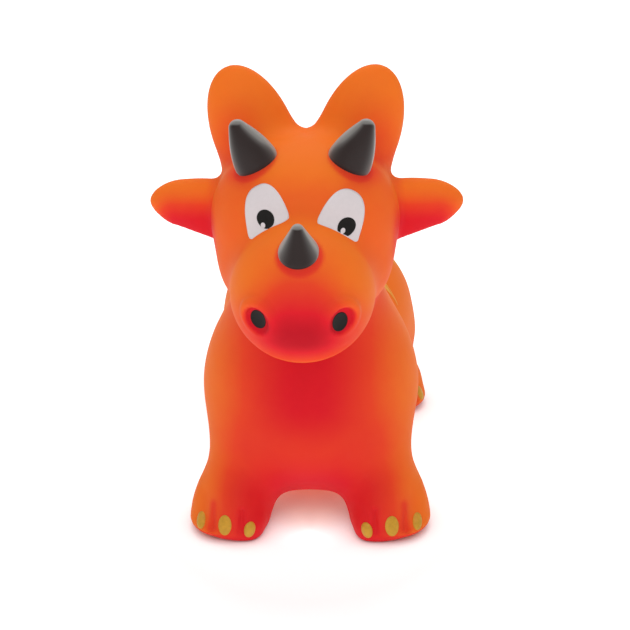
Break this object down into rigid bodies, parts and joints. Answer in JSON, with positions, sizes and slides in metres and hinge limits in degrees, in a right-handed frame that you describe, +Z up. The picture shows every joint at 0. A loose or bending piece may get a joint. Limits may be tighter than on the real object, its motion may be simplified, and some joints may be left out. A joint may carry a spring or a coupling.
{
  "type": "inflatable hopping toy",
  "caption": "Sit-on inflatable vinyl dinosaur with stub legs, ears, a two-lobed frill, blunt horns and a push-in air stopper.",
  "frame": {"origin": "on the floor, under the middle of the toy's bounding box", "axes": "+Z up, the toy faces -Y, its own left side is +X"},
  "size_m": [0.3294, 0.59, 0.5031],
  "materials": {
    "skin_orange": "satin moulded vinyl",
    "skin_warm": "satin moulded vinyl",
    "skin_red_orange": "satin moulded vinyl, sprayed red",
    "skin_red": "satin moulded vinyl, sprayed red",
    "horn_paint": "satin dark grey paint on vinyl",
    "white_paint": "satin white paint",
    "black_paint": "satin black paint",
    "yellow_paint": "satin yellow paint",
    "stopper": "smooth off-white plastic"
  },
  "bodies": {
    "toy": {"chest": "skin_red", "rump": "skin_orange", "saddle": "skin_orange", "neck": "skin_warm", "head": "skin_orange", "muzzle": "skin_red_orange", "frill_left": "skin_orange", "frill_right": "skin_orange", "ear_left": "skin_warm", "ear_right": "skin_warm", "forefoot_left": "skin_red_orange", "forefoot_right": "skin_red_orange", "hindfoot_left": "skin_warm", "hindfoot_right": "skin_warm", "foreleg_left": "skin_red_orange", "foreleg_right": "skin_red_orange", "hindleg_left": "skin_warm", "hindleg_right": "skin_warm", "tail": "skin_orange", "valve_bush": "skin_red_orange", "brow_horn_left": "horn_paint", "brow_horn_right": "horn_paint", "nose_horn": "horn_paint", "eye_white_left": "white_paint", "pupil_left": "black_paint", "glint_left": "white_paint", "nostril_left": "black_paint", "eye_white_right": "white_paint", "pupil_right": "black_paint", "glint_right": "white_paint", "nostril_right": "black_paint", "nail_fore_left_1": "yellow_paint", "nail_fore_left_2": "yellow_paint", "nail_fore_left_3": "yellow_paint", "nail_fore_right_1": "yellow_paint", "nail_fore_right_2": "yellow_paint", "nail_fore_right_3": "yellow_paint", "nail_hind_left_1": "yellow_paint", "nail_hind_left_2": "yellow_paint", "nail_hind_left_3": "yellow_paint", "nail_hind_right_1": "yellow_paint", "nail_hind_right_2": "yellow_paint", "nail_hind_right_3": "yellow_paint", "stripe_1": "yellow_paint", "stripe_2": "yellow_paint", "stripe_3": "yellow_paint"},
    "stopper": {"valve_plug": "stopper"}
  },
  "joints": [
    {"name": "stopper_pull", "type": "slide", "parent": "toy", "child": "stopper", "axis": [0, 0.9511, -0.309], "range_m": [0, 0.03]}
  ]
}
